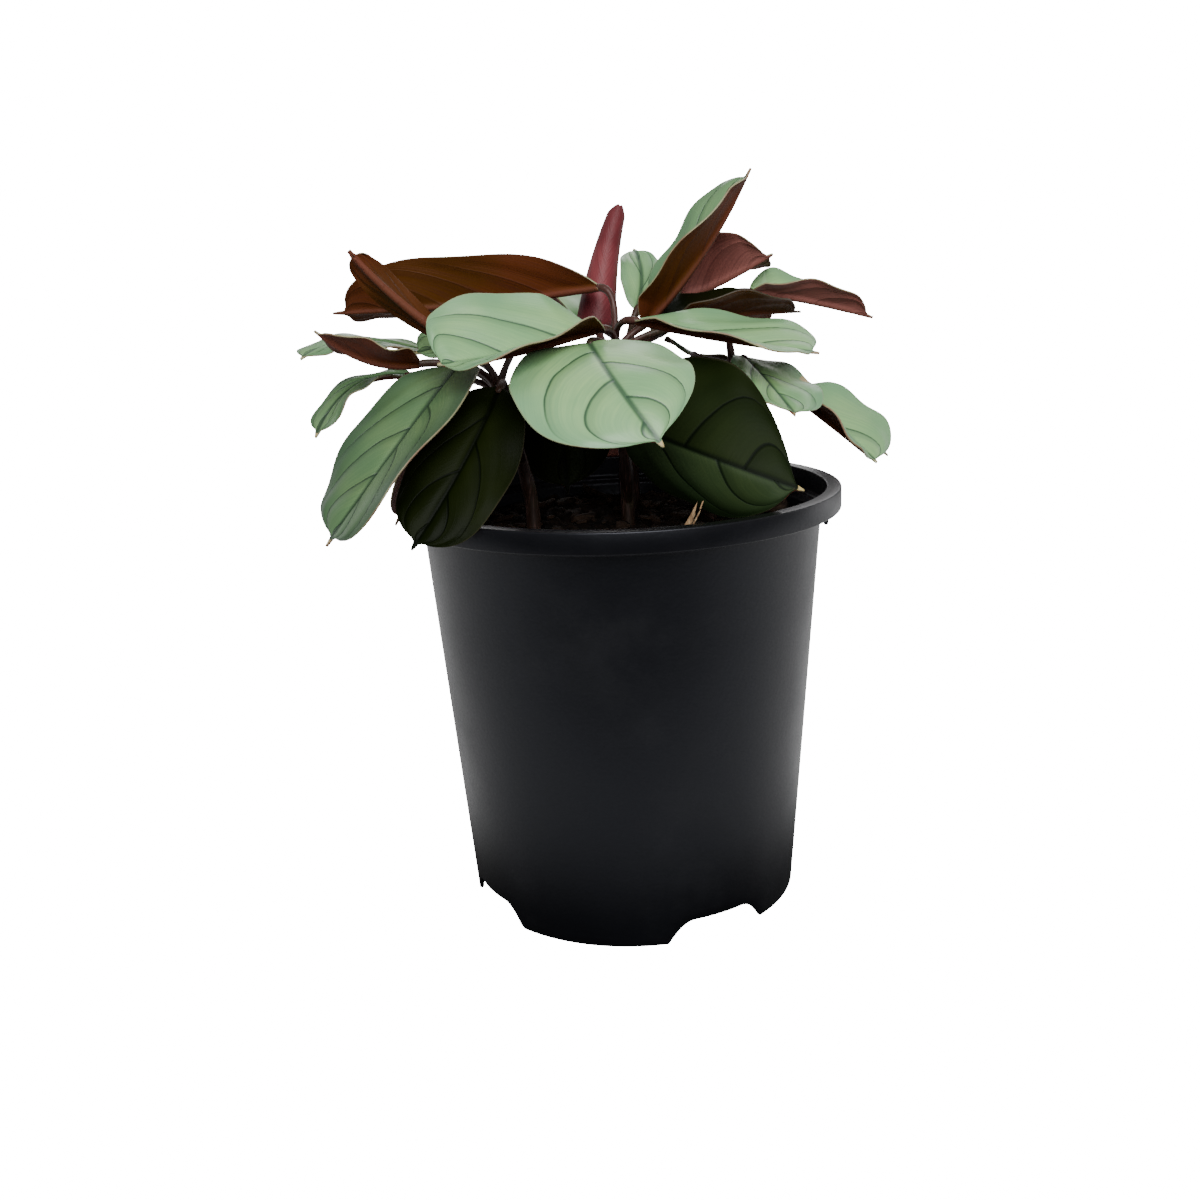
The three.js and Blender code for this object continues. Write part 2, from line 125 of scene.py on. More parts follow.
def stretched(tree, x, y, z):
    """Object coordinates, scaled along each axis, for streaks and fibres."""
    place = add(tree, "ShaderNodeTexCoord").outputs["Object"]
    return add(tree, "ShaderNodeMapping", {"Vector": place, "Scale": (x, y, z)}).outputs[0]


def blend_colours(tree, share, first, second):
    """Mixes two colours, each a constant or another node's output."""
    first, second = (colour if isinstance(colour, bpy.types.NodeSocket) else (*colour, 1)
                     for colour in (first, second))
    mix = add(tree, "ShaderNodeMix", {"Factor": share, 6: first, 7: second}, data_type="RGBA")
    return mix.outputs[2]


def paint(tree, shader, colour):
    tree.links.new(colour, shader.inputs["Base Color"])


def relief(tree, shader, height, strength, depth_mm):
    """Fine relief that is too small for the mesh."""
    inputs = {"Height": height, "Strength": strength, "Distance": depth_mm * MM}
    bump = add(tree, "ShaderNodeBump", inputs)
    tree.links.new(bump.outputs["Normal"], shader.inputs["Normal"])


def set_down(name, bm):
    """Makes an object of a bmesh and puts it into the scene."""
    mesh = bpy.data.meshes.new(name)
    bm.to_mesh(mesh)
    bm.free()
    made = bpy.data.objects.new(name, mesh)
    bpy.context.scene.collection.objects.link(made)
    return made


def make_piece(name, bm, materials, slot, *nodes):
    """Turns a bmesh in millimetres into a piece that rides with the pot."""
    bmesh.ops.scale(bm, vec=(MM, MM, MM), verts=bm.verts)
    for face in bm.faces:
        face.smooth = True
    piece = set_down(name, bm)
    for material in materials:
        piece.data.materials.append(material)
    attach(piece, "root")
    if nodes:
        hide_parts(*nodes)
    return piece


def turn_profile(bm, profile, steps):
    """Spins a profile of (radius, height) points into a closed round body."""
    points = [bm.verts.new((radius, 0, height)) for radius, height in profile]
    edges = [bm.edges.new(pair) for pair in zip(points, points[1:] + points[:1])]
    if profile[0][0] == 0 and profile[-1][0] == 0:
        bmesh.ops.delete(bm, geom=[edges.pop()], context="EDGES_FACES")
    bmesh.ops.spin(bm, geom=points + edges, cent=(0, 0, 0), axis=(0, 0, 1),
                   angle=math.tau, steps=steps, use_merge=True)
    bmesh.ops.remove_doubles(bm, verts=bm.verts, dist=1e-4)
    bmesh.ops.recalc_face_normals(bm, faces=bm.faces)


def round_corners(bm, radius, segments, least_angle=25):
    corners = [edge for edge in bm.edges
               if edge.is_manifold and edge.calc_face_angle() > math.radians(least_angle)]
    bmesh.ops.bevel(bm, geom=corners, offset=radius, offset_type="OFFSET", segments=segments,
                    profile=0.5, affect="EDGES", material=-1, clamp_overlap=True)


def wall_inside(height):
    return FOOT_RADIUS + (SHOULDER_RADIUS - FOOT_RADIUS) / SHOULDER_HEIGHT * height - POT_WALL


def cut_out_lift(x, y):
    """How far the pot's lower edge is raised at this place."""
    bearing = math.degrees(math.atan2(y, x)) + 90
    lift = 0
    for angle in CUT_OUT_ANGLES:
        away = (bearing - angle + 180) % 360 - 180
        across = abs(math.hypot(x, y) * math.sin(math.radians(away)))
        if abs(away) < NEAR_CUT_OUT and across < CUT_OUT_HALF_FOOT:
            slope = CUT_OUT_HALF_FOOT - CUT_OUT_HALF_TOP
            share = min((CUT_OUT_HALF_FOOT - across) / slope, 1)
            lift = CUT_OUT_HEIGHT * math.sin(share * math.pi / 2) ** CUT_OUT_ROUNDNESS
    return lift


lip_under = POT_HEIGHT - RIM_WALL
collar = RIM_RADIUS - RIM_WIDTH
skirt_inside = RIM_RADIUS - RIM_WALL
outer_levels = (*reversed(FOOT_LEVELS), *WALL_LEVELS, SHOULDER_HEIGHT)
inner_levels = (SHOULDER_HEIGHT - SHOULDER_STEP, INNER_WALL_LEVEL, FLOOR_TOP)
pot_profile = [(0, FLOOR_UNDER), (wall_inside(FLOOR_UNDER), FLOOR_UNDER)]
pot_profile += [(wall_inside(z), z) for z in FOOT_LEVELS]
pot_profile += [(wall_inside(z) + POT_WALL, z) for z in outer_levels]
pot_profile += [(collar + RIM_WALL, SHOULDER_HEIGHT + SHOULDER_STEP),
                (collar + RIM_WALL, lip_under), (skirt_inside, lip_under),
                (skirt_inside, SKIRT_BOTTOM), (RIM_RADIUS, SKIRT_BOTTOM),
                (RIM_RADIUS, POT_HEIGHT), (collar, POT_HEIGHT), (collar, SKIRT_BOTTOM)]
pot_profile += [(wall_inside(z), z) for z in inner_levels]
pot_profile += [(0, FLOOR_TOP)]

bm = bmesh.new()
turn_profile(bm, pot_profile, POT_STEPS)
round_corners(bm, POT_EDGE_RADIUS, 3)
for vert in bm.verts:
    if vert.co.z < FLOOR_UNDER and vert.co.xy.length > FEET_BEYOND:
        rise = cut_out_lift(vert.co.x, vert.co.y)
        vert.co.z = rise + vert.co.z * (FLOOR_UNDER - rise) / FLOOR_UNDER

bm_drains = bmesh.new()
for count, first, ring, radius in DRAIN_RINGS:
    for i in range(count):
        bearing = math.radians(first + 360 * i / count - 90)
        at = Matrix.Translation((ring * math.cos(bearing), ring * math.sin(bearing), FLOOR_TOP))
        bmesh.ops.create_cone(bm_drains, cap_ends=True, segments=32, radius1=radius,
                              radius2=radius, depth=DRILL_LENGTH, matrix=at)
bmesh.ops.scale(bm_drains, vec=(MM, MM, MM), verts=bm_drains.verts)
drains = set_down("drain_holes", bm_drains)

pot_black, tree, shader = finish("pot_black_plastic", (0.014, 0.014, 0.016), 0.4, 0.25)
shader.inputs["Specular Tint"].default_value = POT_SHEEN
scuffs = grain(tree, 22, 5, roughness=0.65)
paint(tree, shader, blend_colours(tree, spread(tree, scuffs, 0.5, 0.78), *POT_BLACKS))
tree.links.new(spread(tree, scuffs, 0.3, 0.75, 0.3, 0.42), shader.inputs["Roughness"])
relief(tree, shader, grain(tree, 900, 2), 0.25, 0.12)

pot = make_piece("nursery_pot", bm, [pot_black], "pot_plastic", "pot")
holes = pot.modifiers.new("drain_holes", "BOOLEAN")
holes.operation = "DIFFERENCE"
holes.object = drains
drilled = pot.evaluated_get(bpy.context.evaluated_depsgraph_get())
pot_mesh = bpy.data.meshes.new_from_object(drilled)
pot.modifiers.clear()
pot.data = pot_mesh
bpy.data.objects.remove(drains)


# Gate nub. A small stub of the pot's own plastic, left under the rim's skirt where the mould
# was filled and the waste was snapped off.
NUB_BEARING = -28
NUB_FROM_AXIS = 64.1
NUB_LENGTH = 1.4
NUB_RADII = (0.55, 0.8)

bm = bmesh.new()
bearing = math.radians(NUB_BEARING)
at = Matrix.Translation((NUB_FROM_AXIS * math.cos(bearing), NUB_FROM_AXIS * math.sin(bearing),
                         SKIRT_BOTTOM - 0.5))
bmesh.ops.create_cone(bm, cap_ends=True, segments=20, radius1=NUB_RADII[0],
                      radius2=NUB_RADII[1], depth=NUB_LENGTH, matrix=at)
round_corners(bm, 0.2, 2, 40)
make_piece("pot_gate_nub", bm, [pot_black], "pot_plastic")


# Potting mix. Dark peat with bark, filled into the pot to about 12 mm below the rim and
# settled by watering, so that its top is lumpy. Bark chips and coarse crumbs lie on top. The
# peat and bark browns are darker than their own colour, as painted shade for the deep shade
# inside the pot.
MIX_LEVEL = 112.5
MIX_LUMP = 1.5
MIX_CRUMB = 0.7
MIX_EDGE_WIDTH = 6
MIX_EDGE_DROP = 0.4
MIX_RINGS = 64
MIX_STEPS = 200
CLEARANCE = 0.3
CANE_FEET = ((2, 6), (-26, -8), (27, 8), (4, 32))
CLEAR_OF_CANE = 4.5
CHIPS = 300
CHIPS_WITHIN = 54.5
CHIP_LENGTHS = (2.0, 6.5)
CHIP_WIDTH_SHARES = (0.3, 0.7)
CHIP_HEIGHTS = (0.7, 1.8)
CHIP_TILTS = (-0.3, 0.3)
LARGE_CHIPS = ((50, -6, 0.3), (47, 5, 1.9), (49, 14, 0.9), (-8, 48, 0.2), (-44, 20, 2.4))
LARGE_CHIP_SIZE = (8, 4, 2.4, 1)
LARGE_CHIP_TILT = 0.5
# Very dark browns: the peat's and bark's own colour, darkened further as painted shade.
PEAT_BROWNS = (0.003, 0.002, 0.0015), (0.02, 0.012, 0.008)
BARK_BROWNS = (0.005, 0.003, 0.002), (0.028, 0.015, 0.009)
BARK_FIBRE = (0.05, 0.03, 0.019)


def mix_side(height):
    return wall_inside(height) - CLEARANCE


def mix_height(x, y):
    """The top of the mix at a place: broad lumps that fade out at the wall, and crumbs."""
    fade = min(max((mix_side(MIX_LEVEL - 1) - math.hypot(x, y)) / MIX_EDGE_WIDTH, 0), 1)
    lumps = (0.6 * math.sin(0.41 * x + 1.3) * math.cos(0.37 * y)
             + 0.4 * math.sin(0.83 * x - 0.29 * y + 2) + 0.4 * math.cos(0.71 * y + 0.33 * x))
    crumbs = noise.fractal(Vector((x, y, 3)) * 0.55, 0.8, 2.1, 4)
    return MIX_LEVEL + MIX_LUMP * fade * lumps + MIX_CRUMB * crumbs - MIX_EDGE_DROP * (1 - fade)


def ragged_block(bm, chance, raggedness):
    """Adds a block one unit across, with each corner moved by chance."""
    block = bmesh.ops.create_cube(bm, size=1)["verts"]
    for vert in block:
        shift = Vector((chance.uniform(-1, 1), chance.uniform(-1, 1), chance.uniform(-1, 1)))
        vert.co += raggedness * shift
    return block


bottom = FLOOR_TOP + CLEARANCE
mix_edge = mix_side(MIX_LEVEL - 1)
mix_profile = [(0, bottom), (mix_side(bottom), bottom), (mix_edge, MIX_LEVEL - 1)]
mix_profile += [(mix_edge * i / MIX_RINGS, MIX_LEVEL) for i in range(MIX_RINGS, -1, -1)]
bm = bmesh.new()
turn_profile(bm, mix_profile, MIX_STEPS)
for vert in bm.verts:
    if vert.co.z > MIX_LEVEL - 0.5:
        vert.co.z = mix_height(vert.co.x, vert.co.y)

peat, tree, shader = finish("dark_peat_and_painted_shade", (0.012, 0.008, 0.006), 0.95, 0.1)
clods = grain(tree, 160, 6, roughness=0.7)
paint(tree, shader, blend_colours(tree, spread(tree, clods, 0.42, 0.7), *PEAT_BROWNS))
relief(tree, shader, grain(tree, 420, 8, roughness=0.75), 0.9, 0.7)
make_piece("potting_mix_body", bm, [peat], "potting_mix", "potting_mix")

chance = random.Random(7)
bm = bmesh.new()
for _ in range(CHIPS):
    away = CHIPS_WITHIN * math.sqrt(chance.random())
    bearing = chance.uniform(0, math.tau)
    x, y = away * math.cos(bearing), away * math.sin(bearing)
    length = chance.uniform(*CHIP_LENGTHS)
    width = length * chance.uniform(*CHIP_WIDTH_SHARES)
    height = chance.uniform(*CHIP_HEIGHTS)
    tilt = chance.uniform(*CHIP_TILTS)
    heading = chance.uniform(0, math.tau)
    if min(math.hypot(x - foot[0], y - foot[1]) for foot in CANE_FEET) < CLEAR_OF_CANE:
        continue
    at = (Matrix.Translation((x, y, mix_height(x, y) + 0.25 * height))
          @ Matrix.Rotation(heading, 4, "Z") @ Matrix.Rotation(tilt, 4, "Y")
          @ Matrix.Diagonal((length, width, height, 1)))
    chip = ragged_block(bm, chance, 0.22)
    edges = list({edge for vert in chip for edge in vert.link_edges})
    made = bmesh.ops.bevel(bm, geom=edges, offset=0.16, offset_type="OFFSET", segments=1,
                           profile=0.5, affect="EDGES", material=-1, clamp_overlap=True)
    chip = list({vert for face in made["faces"] for vert in face.verts})
    bmesh.ops.transform(bm, matrix=at, verts=chip)

for x, y, heading in LARGE_CHIPS:
    at = (Matrix.Translation((x, y, mix_height(x, y) + LARGE_CHIP_SIZE[2] / 2))
          @ Matrix.Rotation(heading, 4, "Z") @ Matrix.Rotation(LARGE_CHIP_TILT, 4, "Y")
          @ Matrix.Diagonal(LARGE_CHIP_SIZE))
    bmesh.ops.transform(bm, matrix=at, verts=ragged_block(bm, chance, 0.2))

bark, tree, shader = finish("bark_chips", (0.03, 0.016, 0.009), 0.85, 0.15)
bark_tone = grain(tree, 130, 1)
fibres = grain(tree, 500, 4, stretched(tree, 1, 4, 1))
colour = blend_colours(tree, spread(tree, bark_tone, 0.35, 0.68), *BARK_BROWNS)
paint(tree, shader, blend_colours(tree, spread(tree, fibres, 0.45, 0.8), colour, BARK_FIBRE))
relief(tree, shader, fibres, 0.7, 0.35)
make_piece("bark_on_mix", bm, [bark], "potting_mix")


# Leaf stalks. Each shoot is a short cane that stands in the mix, wrapped in the sheathing
# feet of its leaf stalks. A stalk is round and wiry, and has a slightly swollen joint just
# under its blade. They are purple-brown and grown together, so each shoot is one piece.
STEM_DEPTH = 12
CANE_RADIUS = 2.2
CANE_TAPER = 0.25
CANE_POINTS = 40
CANE_SIDES = 20
KNOT_LEVEL = 128
KNOT_LENGTH = 2.2
KNOT_SWELLING = 0.12
STALK_RADIUS = 1.05
STALK_END_RADIUS = 0.75
STALK_BOW = 0.35
STALK_POINTS = 24
STALK_SIDES = 14
STALK_PAST_BASE = 1.5
STALK_BELOW_BLADE = 0.35
JOINT_POINT = 19.5
JOINT_POINTS = 2.6
JOINT_SWELLING = 0.22
SHEATH_LENGTH = 15
SHEATH_RADII = (1.5, 1.75)
SHEATH_OUT = (0.7, 1.1, 0.6)
STALK_PURPLES = (0.02, 0.01, 0.006), (0.05, 0.016, 0.012)
STALK_GREEN = (0.035, 0.03, 0.014)
STALK_STREAK = (0.09, 0.045, 0.036)

# The shoots' canes as foot, knee and top, and their leaves. Of each leaf: the base, middle and
# tip of its midrib, the side that its upper face turns to (and at the tip, where it twists), its
# width, and how high on the cane its stalk starts. Then, for its right and left half: the angle
# it is folded up, the angle it curls through, how far its edge leads the rib, and its spread.
# Age and shade deepen the green of the upper face towards a near-black olive: partly the darker
# green of old leaves, partly painted shade for the leaves that lie deep in the plant's shade. A
# paler half has less of it. Brown is how far the red underside has turned. Dry is a dry spot's
# place and radius, and dry_tip 0 a fresh point.
SHOOTS = {
    "shoot_a": {
        "cane": ((2, 6), (2, 5, 132), (0, 3, 164)),
        "leaves": {
            "leaf_front": {
                "base": (-7, -23, 169), "middle": (-1, -54, 162), "tip": (11, -68, 146),
                "face": (-0.1, -0.8, 0.7), "width": 40, "fold": (10, -5), "curl": (-12, -20),
                "lead": (-0.25, -0.08), "spread": (1.25, 1.05), "stalk": 158, "age_and_shade": 0.0,
                "brown": 0.2,
            },
            "leaf_left": {
                "base": (-5, -12, 172), "middle": (-29, -28, 167), "tip": (-47, -39, 166),
                "face": (0, -0.42, 0.9), "width": 40, "fold": (36, 34), "curl": (-8, 0),
                "lead": (0.25, 0), "stalk": 161, "age_and_shade": 0.05, "brown": 0.45,
            },
            "leaf_upper_left": {
                "base": (-4, 8, 183), "middle": (-43, 20, 179), "tip": (-85, 18, 178),
                "face": (0.05, 0.85, 0.5), "width": 35, "fold": (60, 5), "curl": (0, 10),
                "lead": (0, 0.4), "spread": (0.8, 0.9), "stalk": 164, "age_and_shade": 0.1, "brown": 0.7,
            },
            "leaf_rolled": {
                "base": (-5, 20, 171), "middle": (-2, 24, 189), "tip": (3, 26, 206),
                "face": (-0.1, 1, 0.1), "width": 26, "curl": (125, 125), "young": True,
                "stalk": 160,
            },
            "leaf_upright": {
                "base": (9, 6, 172), "middle": (25, 1, 190), "tip": (40, 2, 214),
                "face": (-0.84, -0.05, 0.54), "tip_face": (-0.84, -0.25, 0.54), "width": 26,
                "fold": (42, 32), "lead": (0, 0.25), "spread": (1, 1.05), "stalk": 162,
                "age_and_shade": 0.3, "brown": 0.6,
            },
            "leaf_right": {
                "base": (6, -11, 174), "middle": (31, -15, 168), "tip": (57, -15, 163),
                "face": (0.05, -0.35, 1), "width": 35, "fold": (27, 5), "curl": (-6, -4),
                "lead": (0, 0.6), "spread": (0.75, 1), "stalk": 163, "age_and_shade": 0.05, "brown": 0.7,
                "dry": (0.67, 1, 1.8),
            },
            "leaf_right_behind": {
                "base": (14, 5, 170), "middle": (34, 12, 173), "tip": (56, 16, 173),
                "face": (0, 0, 1), "width": 34, "fold": (24, 24), "stalk": 160, "age_and_shade": 1.0,
                "brown": 0.85,
            },
            "leaf_front_low": {
                "base": (4, -20, 145), "middle": (25, -36, 138), "tip": (49, -42, 129),
                "face": (0.1, -0.85, 0.5), "width": 42, "fold": (-30, 6), "curl": (-60, -8),
                "lead": (-0.25, -0.45), "spread": (0.78, 1.36), "stalk": 134, "age_and_shade": 0.98,
                "brown": 0.5, "paler_half": (0.05, 0),
            },
        },
    },
    "shoot_b": {
        "cane": ((-26, -8), (-27, -9, 132), (-34, -12, 156)),
        "leaves": {
            "leaf_hanging_left": {
                "base": (-45, -10, 163), "middle": (-59, -42, 145), "tip": (-78, -52, 121),
                "face": (-0.1, -0.4, 0.9), "tip_face": (-0.9, -0.55, 0.35), "width": 35,
                "fold": (16, 11), "curl": (-10, 0), "lead": (0.2, 0), "spread": (1, 1.02),
                "stalk": 155, "age_and_shade": 0.62, "brown": 0.1,
            },
            "leaf_over_rim": {
                "base": (-32, -28, 158), "middle": (-42, -44, 139), "tip": (-55, -56, 120),
                "face": (-0.1, -0.85, 0.5), "width": 28, "fold": (8, 8), "curl": (-20, -20),
                "stalk": 150, "age_and_shade": 1.0, "brown": 0.5, "dry_tip": 0,
            },
            "leaf_narrow_left": {
                "base": (-61, 4, 160), "middle": (-78, 2, 157), "tip": (-88, -8, 144),
                "face": (-0.1, -0.15, 1), "width": 14, "fold": (4, 4), "stalk": 148, "age_and_shade": 0.5,
                "brown": 0.3,
            },
            "leaf_far_left": {
                "base": (-57, -6, 164), "middle": (-70, -14, 166), "tip": (-83, -19, 175),
                "face": (0, 0.25, 0.95), "width": 20, "fold": (15, 15), "stalk": 151, "age_and_shade": 0.3,
                "brown": 0.45,
            },
            "leaf_outer_left": {
                "base": (-58, 17, 166), "middle": (-79, 10, 170), "tip": (-92, 0, 166),
                "face": (-0.2, -0.2, 1), "width": 22, "stalk": 152, "age_and_shade": 0.25, "brown": 0.4,
            },
            "leaf_small_left": {
                "base": (-34, 16, 169), "middle": (-47, 11, 168), "tip": (-59, 5, 166),
                "face": (0, -0.5, 0.85), "width": 18, "fold": (20, 20), "stalk": 154, "age_and_shade": 0.1,
                "brown": 0.3,
            },
            "leaf_folded_left": {
                "base": (-43, -4, 167), "middle": (-60, -8, 181), "tip": (-73, -12, 196),
                "face": (0, 1, -0.25), "width": 14, "fold": (58, 52), "stalk": 156, "age_and_shade": 0.4,
                "brown": 0.9,
            },
        },
    },
    "shoot_c": {
        "cane": ((27, 8), (28, 8, 132), (35, 8, 158)),
        "leaves": {
            "leaf_back_right": {
                "base": (43, 36, 179), "middle": (62, 38, 175), "tip": (82, 40, 169),
                "face": (0, -0.3, 0.8), "tip_face": (0, 0.5, 1), "width": 21, "fold": (26, 50),
                "lead": (-0.3, -0.2), "spread": (1, 0.88), "stalk": 156, "age_and_shade": 0.1,
                "brown": 0.05,
            },
            "leaf_lower_right": {
                "base": (38, 6, 161), "middle": (43, -14, 155), "tip": (48, -32, 148),
                "face": (0.3, -0.55, 0.8), "width": 30, "fold": (4, 4), "spread": (0.6, 0.92),
                "stalk": 152, "age_and_shade": 0.1, "brown": 0.3, "dry": (0.4, -0.97, 2.2),
            },
            "leaf_hanging_right": {
                "base": (50, 0, 152), "middle": (63, -6, 141), "tip": (74, -12, 131),
                "face": (0.3, -0.25, 0.9), "width": 32, "fold": (30, 14), "lead": (0, 0.15),
                "spread": (0.92, 1.15), "stalk": 146, "age_and_shade": 0.1, "brown": 0.6,
            },
            "leaf_right_rear": {
                "base": (38, 28, 149), "middle": (65, 46, 140), "tip": (92, 63, 121),
                "face": (0.2, 0.1, 1), "width": 25, "fold": (10, 10), "stalk": 140, "age_and_shade": 0.2,
                "brown": 0.4,
            },
            "leaf_inner_right": {
                "base": (24, 24, 161), "middle": (27, 34, 159), "tip": (31, 44, 156),
                "face": (0.2, -0.3, 1), "width": 26, "fold": (10, 10), "stalk": 150, "age_and_shade": 0.5,
                "brown": 0.5,
            },
        },
    },
    "shoot_d": {
        "cane": ((4, 32), (4, 31, 132), (3, 28, 160)),
        "leaves": {
            "leaf_rear_upper_right": {
                "base": (20, 28, 178), "middle": (33, 30, 182), "tip": (49, 27, 190),
                "face": (0, 0.55, 0.85), "width": 36, "fold": (25, 40), "stalk": 160, "age_and_shade": 0.3,
                "brown": 0.0,
            },
            "leaf_rear_upright": {
                "base": (7, 27, 175), "middle": (9, 36, 185), "tip": (7, 48, 193),
                "face": (0.2, -0.6, 0.8), "width": 14, "fold": (10, 10), "stalk": 159, "age_and_shade": 0.1,
                "brown": 0.3,
            },
            "leaf_rear_inner": {
                "base": (-15, 12, 160), "middle": (-17, 12, 146), "tip": (-16, 6, 122),
                "face": (0, -1, 0.15), "width": 32, "curl": (-10, -10), "stalk": 152, "age_and_shade": 1.0,
                "brown": 0.8, "dry_tip": 0,
            },
            "leaf_rear_left_low": {
                "base": (-16, 38, 150), "middle": (-38, 53, 139), "tip": (-55, 62, 113),
                "face": (-0.4, 0.5, 0.8), "width": 36, "fold": (14, 14), "curl": (-20, -20),
                "stalk": 140, "age_and_shade": 0.6, "brown": 0.3,
            },
            "leaf_rear_middle": {
                "base": (-1, 44, 158), "middle": (0, 60, 148), "tip": (-2, 70, 114),
                "face": (0, 0.8, 0.6), "width": 34, "fold": (8, 8), "curl": (-20, -20),
                "stalk": 148, "age_and_shade": 0.4, "brown": 0.2,
            },
            "leaf_rear_right_low": {
                "base": (17, 42, 148), "middle": (36, 54, 137), "tip": (50, 64, 110),
                "face": (0.3, 0.6, 0.7), "width": 36, "fold": (14, 14), "curl": (-20, -20),
                "spread": (0.72, 1), "stalk": 142, "age_and_shade": 0.5, "brown": 0.3,
            },
            "leaf_rear_side": {
                "base": (-26, 20, 142), "middle": (-52, 28, 134), "tip": (-74, 34, 109),
                "face": (-0.5, 0.3, 0.8), "width": 32, "fold": (14, 14), "curl": (-10, -10),
                "stalk": 136, "age_and_shade": 0.6, "brown": 0.4,
            },
            "leaf_rear_upper_left": {
                "base": (-8, 36, 171), "middle": (-30, 52, 176), "tip": (-52, 62, 172),
                "face": (0, 0.1, 1), "width": 32, "fold": (24, 24), "stalk": 160, "age_and_shade": 0.2,
                "brown": 0.2,
            },
            "leaf_rear_top": {
                "base": (14, 36, 167), "middle": (32, 51, 171), "tip": (50, 63, 165),
                "face": (0, 0.1, 1), "width": 32, "fold": (20, 20), "stalk": 157, "age_and_shade": 0.1,
                "brown": 0.3,
            },
        },
    },
}


def grow_tube(bm, points, radii, sides):
    """Grows a closed tube along points, with a radius at each."""
    heading = (points[1] - points[0]).normalized()
    turn = heading.to_track_quat("Z", "Y").to_matrix().to_4x4()
    circle = bmesh.ops.create_circle(bm, segments=sides, radius=1, matrix=Matrix.Identity(4))
    ring = circle["verts"]
    place = Matrix.Translation(points[0]) @ turn @ Matrix.Scale(radii[0], 4)
    bmesh.ops.transform(bm, matrix=place, verts=ring)
    edges = list({edge for vert in ring for edge in vert.link_edges})
    ends = list(edges)
    for i in range(1, len(points)):
        after = points[min(i + 1, len(points) - 1)] - points[i - 1]
        turn = heading.rotation_difference(after.normalized()).to_matrix().to_4x4() @ turn
        heading = after.normalized()
        made = bmesh.ops.extrude_edge_only(bm, edges=edges)["geom"]
        ring = [item for item in made if isinstance(item, bmesh.types.BMVert)]
        edges = [item for item in made if isinstance(item, bmesh.types.BMEdge)
                 and all(vert in set(ring) for vert in item.verts)]
        new_place = Matrix.Translation(points[i]) @ turn @ Matrix.Scale(radii[i], 4)
        bmesh.ops.transform(bm, matrix=new_place @ place.inverted(), verts=ring)
        place = new_place
    bmesh.ops.holes_fill(bm, edges=ends + edges, sides=0)


def cane_line(cane):
    """Points along a cane, from its foot in the mix to its top."""
    (x, y), knee, top = cane
    clear = Vector((x, y, MIX_LEVEL + 5))
    below_knee = Vector((x, y, knee[2] - 8))
    straight = [Vector((x, y, MIX_LEVEL - STEM_DEPTH)), Vector((x, y, MIX_LEVEL))]
    return straight + interpolate_bezier(clear, below_knee, Vector(knee), Vector(top), CANE_POINTS)


def cane_place(line, height):
    for low, high in zip(line, line[1:]):
        if high.z >= height:
            return low.lerp(high, (height - low.z) / (high.z - low.z))
    return line[-1]


def midrib(leaf, u):
    """A place on the midrib, its direction, and the blade's own up and right there."""
    base, middle, tip = Vector(leaf["base"]), Vector(leaf["middle"]), Vector(leaf["tip"])
    control = 2 * middle - (base + tip) / 2
    centre = (1 - u) ** 2 * base + 2 * u * (1 - u) * control + u ** 2 * tip
    along = ((1 - u) * (control - base) + u * (tip - control)).normalized()
    face = Vector(leaf["face"]).lerp(Vector(leaf.get("tip_face", leaf["face"])), u)
    up = (face - along * face.dot(along)).normalized()
    return centre, along, up, along.cross(up)


def cane_radii(line):
    """The cane tapers, and swells a little at its knot."""
    radii = []
    for i, point in enumerate(line):
        knot = 1 + KNOT_SWELLING * math.exp(-(((point.z - KNOT_LEVEL) / KNOT_LENGTH) ** 2))
        radii.append(CANE_RADIUS * knot * (1 - CANE_TAPER * i / len(line)))
    return radii


def stalk_radii():
    """Thick where the stalk leaves the cane, with a swollen joint before the blade."""
    radii = list(SHEATH_RADII)
    for i in range(STALK_POINTS):
        joint = math.exp(-(((i - JOINT_POINT) / JOINT_POINTS) ** 2))
        radii.append(STALK_RADIUS * (1.45 - 0.5 * min(i / 6, 1)) + JOINT_SWELLING * joint)
    radii[-1] = STALK_END_RADIUS
    return radii


purple, tree, shader = finish("stalk_purple_brown", (0.07, 0.022, 0.03), 0.45, 0.3)
place = add(tree, "ShaderNodeTexCoord").outputs["Object"]
height = add(tree, "ShaderNodeSeparateXYZ", {0: place}).outputs[2]
streaks = grain(tree, 1500, 3, stretched(tree, 1, 1, 0.12))
colour = blend_colours(tree, spread(tree, height, 0.112, 0.165), *STALK_PURPLES)
colour = blend_colours(tree, spread(tree, grain(tree, 90, 3), 0.5, 0.72), colour, STALK_GREEN)
paint(tree, shader, blend_colours(tree, spread(tree, streaks, 0.5, 0.75), colour, STALK_STREAK))
relief(tree, shader, streaks, 0.4, 0.15)

for shoot, parts in SHOOTS.items():
    line = cane_line(parts["cane"])
    bm = bmesh.new()
    grow_tube(bm, line, cane_radii(line), CANE_SIDES)
    for leaf in parts["leaves"].values():
        start = cane_place(line, leaf["stalk"])
        centre, along, up, _ = midrib(leaf, 0)
        end = centre + along * STALK_PAST_BASE - up * STALK_BELOW_BLADE
        bow = STALK_BOW * (end - start).length
        out = end - start
        out.z = 0
        out.normalize()
        foot = cane_place(line, leaf["stalk"] - SHEATH_LENGTH) + out * SHEATH_OUT[0]
        wrap = cane_place(line, leaf["stalk"] - SHEATH_LENGTH / 2) + out * SHEATH_OUT[1]
        path = [foot, wrap]
        path += interpolate_bezier(start + out * SHEATH_OUT[2], start + Vector((0, 0, bow)),
                                   centre - along * bow, end, STALK_POINTS)
        grow_tube(bm, path, stalk_radii(), STALK_SIDES)
    bmesh.ops.recalc_face_normals(bm, faces=bm.faces)
    make_piece(f"{shoot}_stalks", bm, [purple], "stem", f"{shoot}_stems")
